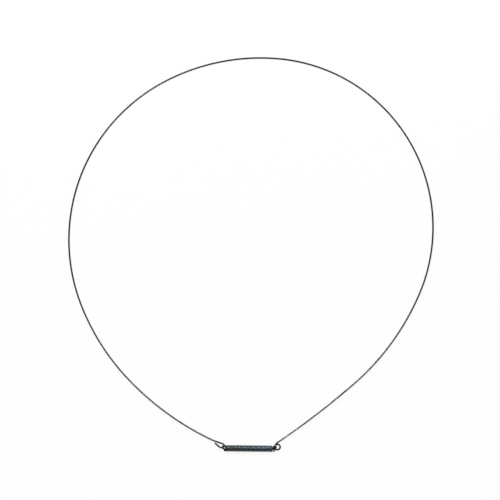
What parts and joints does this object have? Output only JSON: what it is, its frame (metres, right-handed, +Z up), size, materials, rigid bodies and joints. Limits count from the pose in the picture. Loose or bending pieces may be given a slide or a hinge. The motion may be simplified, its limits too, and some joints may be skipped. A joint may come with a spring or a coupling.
{
  "type": "door seal clamp ring",
  "caption": "Spring steel wire ring with an eye at each end, closed by a small closed-coil tension spring, to clamp a door seal's lip in its groove.",
  "frame": {"origin": "middle of the ring's outline as it lies, at the height of the surface that it lies on", "axes": "+Z up from that surface, +Y from the spring to the far side of the ring, +X along the spring"},
  "size_m": [0.3478, 0.3756, 0.0065],
  "materials": {
    "wire": "drawn spring steel wire, grey, satin",
    "spring": "blued spring steel, blue-black, glossy"
  },
  "bodies": {
    "root": {"clamp_wire": "wire", "tension_spring": "spring"}
  },
  "joints": []
}
